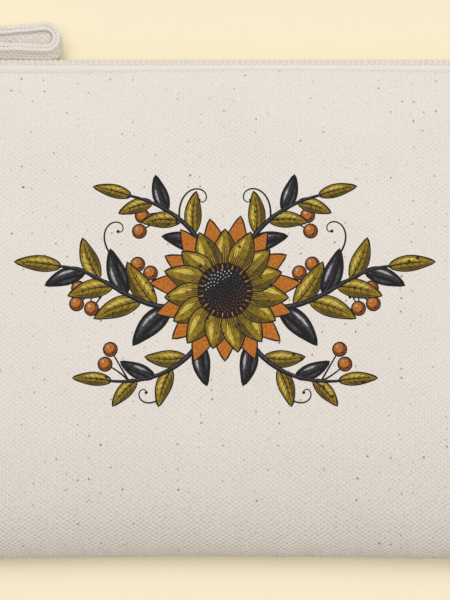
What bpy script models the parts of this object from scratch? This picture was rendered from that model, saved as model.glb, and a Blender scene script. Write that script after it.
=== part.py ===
"""Flat cotton canvas pouch with a zip along its top edge and a canvas pull loop.

Units are metres. The pouch lies on its back panel on z = 0. X runs along the zip, Y points
from the bottom seam to the zip, and the origin is the middle of the back panel's flat face.
"""

import math

import bmesh
import bpy
from mathutils import Vector

# Canvas
HALF_WIDTH = 0.111          # middle of the pouch to each side seam
BOTTOM_Y = -0.075           # bottom seam in the middle of the pouch
FOLD_Y = 0.0715             # folded canvas edge along the zip
SIDE_BOW = 0.0012           # side seams drawn in at half height
CORNER_DROP = 0.0019        # bottom corners lie lower than the middle of the bottom seam
CORNER_CUT = 0.0012         # how far a rounded corner stays inside the square one
CORNER_POWER = 20
SEAM_Z = 0.0065             # height of the seam and of the zip's middle
SEAM_GAP = 0.0003           # play between pieces that touch
FRONT_RISE = 0.0110         # seam to the top of the front panel
CLOTH = 0.0008
ROLL = 0.0012               # radius at which canvas turns in at a seam or fold
SIDE_BAND = 0.020           # width of the curved band along a side seam
BOTTOM_BAND = 0.020
MOUTH_BAND = 0.024
MOUTH_HALF = 0.0050         # zip's middle to the canvas fold on each side
BAND_ANGLES = (0.0, 14.0, 30.0, 48.0, 68.0, 90.0)
MIDDLE_CELLS_X = 12
MIDDLE_CELLS_Y = 8

# Zip
CHAIN_START = -0.0920
PITCH = 0.00176
TOOTH = 0.00058
TEETH = 107
TOOTH_REACH = 0.0008        # teeth pass the zip's middle by this much
SPINE = (0.0013, 0.0020)    # band that carries the teeth, measured from the zip's middle
CHAIN_Y = (0.0732, 0.0750)
TAPE = 0.0005
TAPE_Y = 0.0736
TAPE_EDGE = 0.0023
TAPE_BEND = 0.0034
TAPE_TUCK = 0.00175         # depth behind the canvas fold
TAPE_END = 0.1070
TAPE_INSETS = (0.0035, 0.0060, 0.0090)
STOP_LENGTH = 0.0012

# Slider and pull
SLIDER_X = -0.0930
SLIDER_HALF = 0.0050
SLIDER_WIDTH = 0.0032       # half width
OUTER_PLATE = (0.0753, 0.0762)
INNER_PLATE = (0.0718, 0.0727)
FLANGE = 0.0008
BAIL_HALF = 0.0028
BAIL_TOP = 0.0790
BAIL_WIDTH = 0.0008         # half width
HINGE_Y = 0.0773
WIRE = 0.0005               # radius
RING_LENGTH = 0.0074
RING_SHOULDER = 0.0024      # the ring reaches its full width this far out
RING_NARROW = 0.0016
RING_WIDE = 0.0057
RING_ANGLE = 18.0
STRAP = 0.0026
STRAP_HALF = 0.0050         # half of the strap's width
LOOP_END = -0.0493
LOOP_Y = 0.08025
LOOP_RADIUS = 0.00315       # middle of the strap round the far bend
NECK_RADIUS = 0.00145
STRAP_LEAN = 0.168
LEAN_START = -0.084
LEAN_FULL = -0.070

COLOURS = {
    "canvas": ((0.78, 0.73, 0.65), 0.9, 0.0),
    "tape": ((0.82, 0.77, 0.69), 0.8, 0.0),
    "coil": ((0.78, 0.72, 0.63), 0.5, 0.0),
    "metal": ((0.62, 0.61, 0.59), 0.3, 1.0),
}


def clear_scene():
    for thing in list(bpy.data.objects):
        bpy.data.objects.remove(thing, do_unlink=True)


def material(name):
    found = bpy.data.materials.get(name)
    if found:
        return found
    colour, roughness, metallic = COLOURS[name]
    made = bpy.data.materials.new(name)
    made.use_nodes = True
    shader = made.node_tree.nodes["Principled BSDF"]
    shader.inputs["Base Color"].default_value = (*colour, 1.0)
    shader.inputs["Roughness"].default_value = roughness
    shader.inputs["Metallic"].default_value = metallic
    return made


def solid(name, points, faces, stuff):
    """One object from points and faces, with its faces turned outwards."""
    mesh = bpy.data.meshes.new(name)
    mesh.from_pydata(points, [], faces)
    shape = bmesh.new()
    shape.from_mesh(mesh)
    bmesh.ops.recalc_face_normals(shape, faces=shape.faces)
    shape.to_mesh(mesh)
    shape.free()
    mesh.materials.append(material(stuff))
    made = bpy.data.objects.new(name, mesh)
    bpy.context.scene.collection.objects.link(made)
    return made


def box(name, low, high, stuff):
    points = [(x, y, z) for x in (low[0], high[0]) for y in (low[1], high[1]) for z in (low[2], high[2])]
    faces = [(0, 1, 3, 2), (4, 6, 7, 5), (0, 4, 5, 1), (2, 3, 7, 6), (0, 2, 6, 4), (1, 5, 7, 3)]
    return solid(name, points, faces, stuff)


def prism(name, outline, low, high, stuff):
    """An outline in X and Z, drawn out along Y."""
    count = len(outline)
    points = [(x, low, z) for x, z in outline] + [(x, high, z) for x, z in outline]
    faces = [tuple(range(count)), tuple(range(2 * count - 1, count - 1, -1))]
    for i in range(count):
        after = (i + 1) % count
        faces.append((i, after, after + count, i + count))
    return solid(name, points, faces, stuff)


def fuse(target, others, operation="UNION"):
    """Join the others to the target, or cut them from it, and remove them."""
    bpy.context.view_layer.update()
    tools = bpy.data.collections.new(target.name + "_tools")
    bpy.context.scene.collection.children.link(tools)
    for other in others:
        tools.objects.link(other)
    change = target.modifiers.new("fuse", "BOOLEAN")
    change.operation = operation
    change.operand_type = "COLLECTION"
    change.collection = tools
    change.solver = "EXACT"
    graph = bpy.context.evaluated_depsgraph_get()
    mesh = bpy.data.meshes.new_from_object(target.evaluated_get(graph))
    target.modifiers.clear()
    target.data = mesh
    for other in others:
        bpy.data.objects.remove(other, do_unlink=True)
    bpy.data.collections.remove(tools)
    return target


def stations(low, high, low_band, high_band, cells):
    """Places from low to high: position, rise from 0 to 1, inward lean, and True in the high band."""
    angles = [math.radians(a) for a in BAND_ANGLES]
    places = [(low + low_band * (1 - math.cos(a)), math.sin(a), math.cos(a), False) for a in angles]
    start = low + low_band
    step = (high - high_band - start) / cells
    places += [(start + step * i, 1.0, 0.0, False) for i in range(1, cells)]
    places += [
        (high - high_band * (1 - math.cos(a)), math.sin(a), -math.cos(a), True) for a in reversed(angles)
    ]
    return places


def side_rise(x):
    """How far the pouch has risen, from 0 at a side seam to 1 past the curved band."""
    inset = max(HALF_WIDTH - abs(x), 0.0)
    return math.sqrt(1 - (1 - min(inset / SIDE_BAND, 1.0)) ** 2)


def on_outline(x, y):
    """Bow the sides in, drop the bottom corners and round all four corners."""
    middle = (FOLD_Y + BOTTOM_Y) / 2
    half = (FOLD_Y - BOTTOM_Y) / 2
    across = x / HALF_WIDTH
    along = (y - middle) / half
    corner = CORNER_CUT * abs(across * along) ** CORNER_POWER
    lower = (FOLD_Y - y) / (2 * half)
    x_out = x - across * SIDE_BOW * (1 - along**2) - math.copysign(corner, x)
    y_out = y - CORNER_DROP * across**2 * lower - math.copysign(corner, y - middle)
    return x_out, y_out


def canvas_grid(rise, depth):
    """Rows of (x, y, height over the seam) of a panel's surface, at a depth inside it."""
    columns = stations(-HALF_WIDTH, HALF_WIDTH, SIDE_BAND, SIDE_BAND, MIDDLE_CELLS_X)
    rows = stations(BOTTOM_Y, FOLD_Y, BOTTOM_BAND, MOUTH_BAND, MIDDLE_CELLS_Y)
    top = rise - ROLL - depth
    grid = []
    for y, row_rise, row_lean, at_mouth in rows:
        start = MOUTH_HALF if at_mouth else 0.0
        height = start + (top - start) * row_rise
        line = []
        for x, column_rise, column_lean, _ in columns:
            plan = on_outline(x + depth * column_lean, y + depth * row_lean)
            line.append((*plan, ROLL + column_rise * height))
        grid.append(line)
    return grid


def rim_indices(columns, rows):
    """Grid places round the panel's edge, in order, as (row, column)."""
    around = [(0, i) for i in range(columns)]
    around += [(j, columns - 1) for j in range(1, rows)]
    around += [(rows - 1, i) for i in range(columns - 2, -1, -1)]
    around += [(j, 0) for j in range(rows - 2, 0, -1)]
    return around


def inward_normals(loop):
    normals = []
    for i, _ in enumerate(loop):
        before = Vector(loop[i - 1][:2])
        after = Vector(loop[(i + 1) % len(loop)][:2])
        tangent = (after - before).normalized()
        normals.append(Vector((-tangent.y, tangent.x)))
    return normals


def panel(name, rise, facing):
    """One canvas panel: a dished shell whose edge turns in all round."""
    outer = canvas_grid(rise, 0.0)
    inner = canvas_grid(rise, CLOTH)
    rows = len(outer)
    columns = len(outer[0])
    around = rim_indices(columns, rows)
    edge = [outer[j][i] for j, i in around]
    normals = inward_normals(edge)
    for (j, i), (x, y, z), normal in zip(around, edge, normals):
        inner[j][i] = (x + normal.x * CLOTH, y + normal.y * CLOTH, z)

    heights = [point for line in outer + inner for point in line]
    rings = [[j * columns + i for j, i in around]]
    for radius, angle in ((ROLL, 45.0), (ROLL, 90.0), (ROLL - CLOTH, 90.0), (ROLL - CLOTH, 45.0)):
        inset = ROLL - radius * math.cos(math.radians(angle))
        drop = radius * math.sin(math.radians(angle))
        first = len(heights)
        for (x, y, z), normal in zip(edge, normals):
            heights.append((x + normal.x * inset, y + normal.y * inset, z - drop))
        rings.append(list(range(first, len(heights))))
    rings.append([rows * columns + j * columns + i for j, i in around])

    faces = []
    for j in range(rows - 1):
        for i in range(columns - 1):
            a = j * columns + i
            corners = (a, a + 1, a + columns + 1, a + columns)
            if (i < columns / 2) == (j < rows / 2):
                triangles = ((0, 1, 2), (0, 2, 3))
            else:
                triangles = ((0, 1, 3), (1, 2, 3))
            for triangle in triangles:
                face = [corners[k] for k in triangle]
                faces.append(tuple(face))
                faces.append(tuple(k + rows * columns for k in reversed(face)))
    for ring, following in zip(rings, rings[1:]):
        for k in range(len(ring)):
            after = (k + 1) % len(ring)
            faces.append((ring[k], following[k], following[after]))
            faces.append((ring[k], following[after], ring[after]))

    points = [(x, y, SEAM_Z + facing * (SEAM_GAP / 2 + z)) for x, y, z in heights]
    return solid(name, points, faces, "canvas")


def back_rise():
    return SEAM_Z - SEAM_GAP / 2


def tape_line(x, rise):
    """The tape's middle at one place along the zip, as (y, distance from the zip's middle)."""
    side = side_rise(x)
    fold = MOUTH_HALF * side
    bend = min(TAPE_BEND, fold - 0.0009)
    fold_y = on_outline(x, FOLD_Y)[1]
    line = [(TAPE_Y, min(TAPE_EDGE, bend - 0.0011)), (TAPE_Y, bend)]
    line.append((fold_y - TAPE_TUCK, fold - 0.0006))
    for inset in TAPE_INSETS:
        swell = math.sqrt(1 - (1 - inset / MOUTH_BAND) ** 2)
        height = ROLL + side * (MOUTH_HALF + (rise - ROLL - MOUTH_HALF) * swell)
        line.append((fold_y - inset, height - TAPE_TUCK - 0.0001))
    return line


def tape(name, rise, facing):
    """One woven tape, from beside the teeth to behind the canvas fold."""
    inner_x = [-0.099 + 0.198 * i / 12 for i in range(13)]
    places = [-TAPE_END, -0.1035, *inner_x, 0.1035, TAPE_END]
    points = []
    for x in places:
        line = [Vector(p) for p in tape_line(x, rise)]
        sides = ([], [])
        for i, point in enumerate(line):
            tangent = (line[min(i + 1, len(line) - 1)] - line[max(i - 1, 0)]).normalized()
            across = Vector((-tangent.y, tangent.x)) * TAPE / 2
            sides[0].append(point + across)
            sides[1].append(point - across)
        for y, z in sides[0] + sides[1][::-1]:
            points.append((x, y, SEAM_Z + facing * z))
    count = 2 * len(tape_line(0.0, rise))
    faces = []
    for k in range(len(places) - 1):
        for i in range(count):
            a = k * count + i
            b = k * count + (i + 1) % count
            faces.append((a, b, b + count))
            faces.append((a, b + count, a + count))
    half = count // 2
    for first in (0, (len(places) - 1) * count):
        for i in range(half - 1):
            faces.append((first + i, first + i + 1, first + count - 2 - i, first + count - 1 - i))
    return solid(name, points, faces, "tape")


def teeth(name, facing, shift):
    """One row of teeth on its carrying band, a comb that meshes with the other row."""
    outline = []
    for k in range(TEETH):
        x = CHAIN_START + shift + k * PITCH
        outline += [
            (x, facing * SPINE[0]),
            (x, -facing * TOOTH_REACH),
            (x + TOOTH, -facing * TOOTH_REACH),
            (x + TOOTH, facing * SPINE[0]),
        ]
    outline += [(outline[-1][0], facing * SPINE[1]), (outline[0][0], facing * SPINE[1])]
    return prism(name, [(x, SEAM_Z + z) for x, z in outline], *CHAIN_Y, "coil")


def stops():
    """Small metal stops, two past the closed end and one long one at the open end."""
    left = SLIDER_X - SLIDER_HALF - SEAM_GAP - STOP_LENGTH
    for name, facing in (("top_stop_front", 1), ("top_stop_back", -1)):
        near = SEAM_Z + facing * 0.0006
        far = SEAM_Z + facing * SPINE[1]
        low = (left, CHAIN_Y[0], min(near, far))
        high = (left + STOP_LENGTH, CHAIN_Y[1], max(near, far))
        box(name, low, high, "metal")
    right = CHAIN_START + TEETH * PITCH + 0.0016
    low = (right, CHAIN_Y[0], SEAM_Z - SPINE[1])
    high = (right + STOP_LENGTH, CHAIN_Y[1], SEAM_Z + SPINE[1])
    box("bottom_stop", low, high, "metal")


def slider_plate(name, low, high):
    nose = -SLIDER_HALF
    outline = [
        (nose, -0.0012),
        (nose, 0.0012),
        (nose + 0.0012, SLIDER_WIDTH),
        (SLIDER_HALF, SLIDER_WIDTH),
        (SLIDER_HALF, -SLIDER_WIDTH),
        (nose + 0.0012, -SLIDER_WIDTH),
    ]
    return prism(name, [(SLIDER_X + x, SEAM_Z + z) for x, z in outline], low, high, "metal")


def slider():
    """Two plates on a wedge, flanges that hold the teeth in, and a bail for the pull."""
    sunk = 0.0001
    body = slider_plate("slider_body", *OUTER_PLATE)
    pieces = [slider_plate("inner_plate", *INNER_PLATE)]
    for facing in (1, -1):
        for name, low, high in (
            ("outer_flange", TAPE_Y + TAPE / 2 + SEAM_GAP, OUTER_PLATE[0] + sunk),
            ("inner_flange", INNER_PLATE[1] - sunk, TAPE_Y - TAPE / 2 - SEAM_GAP),
        ):
            sides = sorted(SEAM_Z + facing * z for z in (SLIDER_WIDTH - FLANGE, SLIDER_WIDTH - sunk))
            start = SLIDER_X - SLIDER_HALF + 0.0014
            end = SLIDER_X + SLIDER_HALF - sunk
            pieces.append(box(name, (start, low, sides[0]), (end, high, sides[1]), "metal"))
    wedge = [(-0.0047, -0.0006), (-0.0047, 0.0006), (-0.0036, 0.0012), (-0.0017, 0.0003)]
    wedge += [(-0.0017, -0.0003), (-0.0036, -0.0012)]
    outline = [(SLIDER_X + x, SEAM_Z + z) for x, z in wedge]
    pieces.append(prism("wedge", outline, INNER_PLATE[1] - sunk, OUTER_PLATE[0] + sunk, "metal"))
    bail_low = (SLIDER_X - BAIL_HALF, OUTER_PLATE[1] - sunk, SEAM_Z - BAIL_WIDTH)
    bail_high = (SLIDER_X + BAIL_HALF, BAIL_TOP, SEAM_Z + BAIL_WIDTH)
    bail = box("bail", bail_low, bail_high, "metal")
    reach = WIRE + SEAM_GAP
    window_low = (SLIDER_X - BAIL_HALF + 0.0010, HINGE_Y - reach, SEAM_Z - 2 * BAIL_WIDTH)
    window_high = (SLIDER_X + BAIL_HALF - 0.0010, HINGE_Y + reach, SEAM_Z + 2 * BAIL_WIDTH)
    pieces.append(fuse(bail, [box("window", window_low, window_high, "metal")], "DIFFERENCE"))
    fuse(body, pieces)


def ring_direction():
    angle = math.radians(RING_ANGLE)
    return Vector((math.cos(angle), math.sin(angle), 0.0))


def eye_centre():
    return Vector((SLIDER_X, HINGE_Y, SEAM_Z)) + ring_direction() * RING_LENGTH


def pull_ring():
    """A wire ring, narrow in the bail and wide in the strap."""
    half = [(0.0, RING_NARROW), (RING_SHOULDER, RING_WIDE), (RING_LENGTH, RING_WIDE)]
    corners = half + [(along, -across) for along, across in reversed(half)]
    turn = 0.0010
    route = []
    for i, corner in enumerate(corners):
        here = Vector(corner)
        before = (Vector(corners[i - 1]) - here).normalized()
        after = (Vector(corners[(i + 1) % len(corners)]) - here).normalized()
        for t in (0.0, 0.33, 0.67, 1.0):
            start = here + before * turn
            end = here + after * turn
            route.append(start * (1 - t) ** 2 + here * 2 * t * (1 - t) + end * t**2)
    curve = bpy.data.curves.new("pull_ring", "CURVE")
    curve.dimensions = "3D"
    curve.bevel_depth = WIRE
    curve.bevel_resolution = 2
    spline = curve.splines.new("POLY")
    spline.points.add(len(route) - 1)
    spline.use_cyclic_u = True
    hinge = Vector((SLIDER_X, HINGE_Y, SEAM_Z))
    for point, (along, across) in zip(spline.points, route):
        place = hinge + ring_direction() * along + Vector((0.0, 0.0, across))
        point.co = (*place, 1.0)
    curve.materials.append(material("metal"))
    bpy.context.scene.collection.objects.link(bpy.data.objects.new("pull_ring", curve))


def arc(centre, radius, start, end, count):
    return [
        centre + radius * Vector((math.cos(a), math.sin(a)))
        for a in (start + (end - start) * i / count for i in range(count + 1))
    ]


def lean(x):
    """The strap stands upright at its ring and leans further on."""
    t = min(max((x - LEAN_START) / (LEAN_FULL - LEAN_START), 0.0), 1.0)
    return STRAP_LEAN * t * t * (3 - 2 * t)


def strap_band(name, loop):
    """A strap standing on edge along a closed route in X and Y."""
    count = len(loop)
    points = []
    for i, place in enumerate(loop):
        tangent = (loop[(i + 1) % count] - loop[i - 1]).normalized()
        across = Vector((tangent.y, -tangent.x)) * STRAP / 2
        for side, z in ((1, -STRAP_HALF), (-1, -STRAP_HALF), (-1, STRAP_HALF), (1, STRAP_HALF)):
            x, y = place + across * side
            points.append((x, y + z * lean(x), SEAM_Z + z))
    faces = []
    for i in range(count):
        a = 4 * i
        b = 4 * ((i + 1) % count)
        for k in range(4):
            m = (k + 1) % 4
            faces.append((a + k, a + m, b + m))
            faces.append((a + k, b + m, b + k))
    return solid(name, points, faces, "canvas")


def pull_loop():
    """A canvas strap round the ring's wide bar, sewn at its neck into a long loop."""
    eye = eye_centre().xy
    far = Vector((LOOP_END - LOOP_RADIUS - STRAP / 2, LOOP_Y))
    eye_radius = WIRE + SEAM_GAP + STRAP / 2
    axis = (far - eye).normalized()
    neck = eye + axis * (eye_radius + NECK_RADIUS)
    heading = math.atan2(axis.y, axis.x)
    spread = math.asin((LOOP_RADIUS - NECK_RADIUS) / (far - neck).length)
    quarter = math.pi / 2
    route = arc(far, LOOP_RADIUS, heading - quarter - spread, heading + quarter + spread, 14)
    arms = 10
    upper_start = route[-1]
    small = arc(neck, NECK_RADIUS, heading + quarter + spread, heading + 3 * quarter - spread, 6)
    route += [upper_start.lerp(small[0], i / arms) for i in range(1, arms)]
    route += small
    route += [small[-1].lerp(route[0], i / arms) for i in range(1, arms)]
    strap = strap_band("pull_loop", route)
    ring = strap_band("eye", arc(eye, eye_radius, 0.0, 2 * math.pi * 15 / 16, 15))
    fuse(strap, [ring])


def main():
    clear_scene()
    panel("front_panel", FRONT_RISE, 1)
    panel("back_panel", back_rise(), -1)
    tape("zip_tape_front", FRONT_RISE, 1)
    tape("zip_tape_back", back_rise(), -1)
    teeth("zip_teeth_front", 1, 0.0)
    teeth("zip_teeth_back", -1, PITCH / 2)
    stops()
    slider()
    pull_ring()
    pull_loop()


main()
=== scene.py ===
"""The finish of a natural canvas zip pouch: cloth, printed flower spray, zip and pull strap."""

import math
from itertools import accumulate

import bmesh
import bpy
import numpy as np
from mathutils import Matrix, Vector, geometry


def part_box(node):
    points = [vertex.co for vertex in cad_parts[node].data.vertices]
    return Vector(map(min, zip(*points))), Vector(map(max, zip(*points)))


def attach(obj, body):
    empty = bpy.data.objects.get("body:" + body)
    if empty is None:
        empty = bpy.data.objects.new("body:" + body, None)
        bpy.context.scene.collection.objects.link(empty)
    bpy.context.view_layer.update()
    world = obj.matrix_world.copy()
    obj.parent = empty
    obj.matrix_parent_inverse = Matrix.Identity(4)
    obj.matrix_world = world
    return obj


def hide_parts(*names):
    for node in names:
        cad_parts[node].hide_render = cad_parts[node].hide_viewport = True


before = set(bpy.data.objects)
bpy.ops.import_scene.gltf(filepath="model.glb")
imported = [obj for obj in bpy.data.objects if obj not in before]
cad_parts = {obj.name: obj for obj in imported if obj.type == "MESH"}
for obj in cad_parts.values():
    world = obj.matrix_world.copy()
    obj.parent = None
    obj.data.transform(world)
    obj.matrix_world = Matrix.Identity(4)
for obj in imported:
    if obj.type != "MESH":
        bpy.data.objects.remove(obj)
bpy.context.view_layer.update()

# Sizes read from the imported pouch
FRONT_LOW, FRONT_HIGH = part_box("front_panel")
BACK_LOW, BACK_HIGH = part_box("back_panel")
CHAIN_LOW, CHAIN_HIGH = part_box("zip_teeth_front")
_, LOOP_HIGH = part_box("pull_loop")
SEAM_GAP = FRONT_LOW[2] - BACK_HIGH[2]
SEAM_Z = (FRONT_LOW[2] + BACK_HIGH[2]) / 2
FRONT_RISE = FRONT_HIGH[2] - FRONT_LOW[2]
BACK_RISE = BACK_HIGH[2] - BACK_LOW[2]

# Canvas, as in the solids
HALF_WIDTH = 0.111
BOTTOM_Y = -0.075
FOLD_Y = 0.0715
MIDDLE_Y = (FOLD_Y + BOTTOM_Y) / 2
HALF_HEIGHT = (FOLD_Y - BOTTOM_Y) / 2
SIDE_BOW = 0.0012
CORNER_DROP = 0.0019
CORNER_CUT = 0.0012
CORNER_POWER = 20
ROLL = 0.0012
SIDE_BAND = 0.020
BOTTOM_BAND = 0.020
MOUTH_BAND = 0.024
MOUTH_HALF = 0.0050
CLOTH = 0.0007
GRID = 0.0019               # spacing of the cloth's points
EDGE_STEPS = (0.0004, 0.0010, 0.0018, 0.0029, 0.0043)
TURNS = (22.5, 45.0, 67.5, 90.0, 120.0)     # degrees, down the turned-in edge
SEAM_INSET = 0.00105
SEAM_THREAD = 0.00042       # radius

# Soft cloth
PUCKER = 0.00022            # height of the puckers along the seams
PUCKER_REACH = 0.003
DRAG = 0.0006               # height of the drag lines from the lower corners
DRAG_REACH = 0.018
NORMAL_STEP = 0.0002
SLACK_CELLS = (56, 38)
SLACK_FRAMES = 40
SLACK_LIMIT = 0.0011        # furthest the slack moves the cloth
SLACK_SHARE = 0.45          # how much of the run's movement is kept

# Weave
WARP = 0.00095              # spacing of the threads that run from the bottom seam to the zip
WEFT = 0.00070
WEAVE_RELIEF = 0.00019
TWILL = 0.00042             # spacing of the tape's ribs
PAINTED_BOTTOM_SHADE = 0.08                 # painted shade: how much the cloth's colour is darkened towards the bottom
PAINTED_SEAM_SHADE = 0.125           # and the painted shade just above the bottom seam

# Zip
PITCH = 0.00176
TEETH = 107
TAPE = 0.0005
TAPE_Y = 0.0734
TAPE_EDGE = 0.0021
TAPE_BEND = 0.0034
TAPE_TUCK = 0.00175
TAPE_END = 0.1088
TAPE_CLOSING = 0.1000       # from here to its ends the tape's halves close and turn in
COIL_WIRE = 0.00043         # radius
CORE = 0.00074              # radius of the cord inside each coil
CORE_LEVEL = 0.00136        # how far the cord lies from the middle plane
COIL_SEAM_LEVEL = 0.00155
COIL_DROP = 0.00040         # how far the coil sits below the top of its solid
MOUTH_CROWN = 0.0010        # how far the fold hangs at the sides of the middle
CROWN_MIDDLE = 0.014

# Pull strap
STRAP = 0.0026
STRAP_HALF = 0.0044
LAYER = 0.00126             # one of the strap's two layers
LOOP_END = LOOP_HIGH[0]
LOOP_Y = 0.08025
LOOP_RADIUS = 0.00315
EYE_RADIUS = 0.0021
STRAP_LEAN = 0.27
BELLY = 0.00182             # how far the outer layer puffs out over the zip
BELLY_LEAST = 0.00020       # the same on the side away from the zip
BELLY_DEPTH = 0.0040        # how far below the rim it is widest
LINING_SUNK = 0.0003        # how far the lining's edges go into the arms
LINING_TOP = 0.0014
LINING_FALL = 0.0026
LEAN_START = -0.084
LEAN_FULL = -0.070
NECK_END = 0.0068           # distance from the ring's bar
NECK_HALF = 0.00146         # half the distance between the strap's arms there
TACK_HALF = 0.00135         # and at the rows of stitches that close the neck
HINGE = Vector((-0.0930, 0.0773, SEAM_Z))
RING_ANGLE = math.radians(18)
RING_LENGTH = 0.0074
RING_SHOULDER = 0.0024
RING_NARROW = 0.0016
RING_WIDE = 0.0057
WIRE = 0.0005

# Stitches, length and thickness
TAPE_STITCH = (0.0013, 0.00036)
COIL_STITCH = (0.0012, 0.00034)
EDGE_STITCH = (0.0011, 0.00060)
TACK_STITCH = (0.0015, 0.00036)

# Print, in metres on the cloth
FLOWER = (0.0, 0.0050)
PRINT_LINE = 0.00034        # width of the dark outlines
PETALS = 15
PETAL_ROOT = 0.0055         # distances from the flower's middle
STREAK_ROOT = 0.0072
HEAD = 0.0083
SEEDS = 130
SEED_REACH = 0.0063
BERRY = 0.0023
STEMS = (
    ((0.004, 0.004), (0.024, -0.008), (0.034, 0.012), (0.050, 0.0125)),
    ((0.003, 0.0), (0.008, -0.018), (0.022, -0.023), (0.035, -0.0215)),
    ((0.003, 0.008), (0.006, 0.024), (0.018, 0.031), (0.029, 0.0335)),
)
CURL_STEPS = 34
CURLS = (                   # start, heading and size
    ((0.0335, 0.0150), 0.9, 0.0105),
    ((0.0300, 0.0020), -0.7, 0.0100),
    ((0.0170, -0.0235), -1.1, 0.0090),
    ((0.0136, 0.0262), 1.5, 0.0110),
)
GLINTS = {                  # ink, half (1 is the lit one), ends along the leaf and edges across it
    "black": (
        ("slate", 1, (0.12, 0.90, 0.16, 0.86)),
        ("slate", -1, (0.20, 0.70, 0.45, 0.80)),
        ("silver", 1, (0.26, 0.66, 0.40, 0.68)),
    ),
    "mustard": (("olive", -1, (0.06, 0.94, 0.42, 1.0)), ("gold", 1, (0.16, 0.76, 0.30, 0.74))),
    "petal": (("olive", -1, (0.10, 0.96, 0.40, 1.0)), ("gold", 1, (0.34, 0.86, 0.26, 0.72))),
}

# Picture
FRAME_PIXELS = (450, 600)
METRES_PER_PIXEL = 0.0003024
CAMERA_DISTANCE = 0.650
CAMERA_Y = 0.0023
SENSOR = 36.0
FLOOR_LEVEL = -0.0001
SKY = 0.40
SUN = 1.98
SUN_SPREAD = 60             # degrees
SUN_FROM = (0.10, 0.26, 1.0)


def srgb(red, green, blue):
    """Screen colour, 0 to 255, as linear light."""
    out = []
    for value in (red, green, blue):
        share = value / 255
        out.append(share / 12.92 if share <= 0.04045 else ((share + 0.055) / 1.055) ** 2.4)
    return (*out, 1.0)


# Node helpers

def feed(tree, socket, value):
    """Link a socket, or set it to a plain value."""
    if isinstance(value, bpy.types.NodeSocket):
        tree.links.new(value, socket)
    else:
        socket.default_value = value


def node(tree, kind, inputs=None, **settings):
    made = tree.nodes.new(kind)
    for key, value in settings.items():
        setattr(made, key, value)
    for key, value in (inputs or {}).items():
        feed(tree, made.inputs[key], value)
    return made


def maths(tree, operation, *values):
    return node(tree, "ShaderNodeMath", dict(enumerate(values)), operation=operation).outputs[0]


def blend_colour(tree, share, first, second):
    mixer = node(tree, "ShaderNodeMix", data_type="RGBA")
    for name, value in (("Factor", share), ("A", first), ("B", second)):
        feed(tree, next(s for s in mixer.inputs if s.name == name and s.enabled), value)
    return next(s for s in mixer.outputs if s.enabled)


def ramp(tree, value, low, high):
    """0 at low, 1 at high."""
    made = node(tree, "ShaderNodeMapRange", {"Value": value, "From Min": low, "From Max": high})
    return made.outputs["Result"]


def wave(tree, phase):
    return maths(tree, "COSINE", maths(tree, "MULTIPLY", phase, math.pi))


def cloth_place(tree):
    """Place on the flat cloth, in metres."""
    return node(tree, "ShaderNodeTexCoord").outputs["UV"]


def noise(tree, place, scale, detail):
    return node(tree, "ShaderNodeTexNoise", {"Vector": place, "Scale": scale, "Detail": detail}).outputs


def split_place(tree, place):
    return node(tree, "ShaderNodeSeparateXYZ", {"Vector": place}).outputs


def split_colour(tree, colour):
    return node(tree, "ShaderNodeSeparateColor", {0: colour}).outputs


def ragged(tree, place, colour):
    """The place moved a little by a noise, so that spots get ragged edges."""
    shift = node(tree, "ShaderNodeVectorMath", {0: colour, 1: (0.0006, 0.0006, 0.0)}, operation="MULTIPLY")
    return node(tree, "ShaderNodeVectorMath", {0: place, 1: shift.outputs[0]}, operation="ADD").outputs[0]


def grained(tree, place, scale, detail, light, deep):
    """A noise and a colour that wanders with it."""
    grain = noise(tree, place, scale, detail)
    return grain, blend_colour(tree, ramp(tree, grain[0], 0.35, 0.65), deep, light)


def new_material(name, roughness, metallic=0.0):
    made = bpy.data.materials.new(name)
    made.use_nodes = True
    shader = made.node_tree.nodes["Principled BSDF"]
    shader.inputs["Roughness"].default_value = roughness
    shader.inputs["Metallic"].default_value = metallic
    return made, made.node_tree, shader


def dress(tree, shader, colour, height, relief):
    """Give the shader its colour and its relief, in metres."""
    tree.links.new(colour, shader.inputs["Base Color"])
    bump = node(tree, "ShaderNodeBump", {"Height": height, "Distance": relief, "Strength": 1.0})
    tree.links.new(bump.outputs[0], shader.inputs["Normal"])


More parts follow.
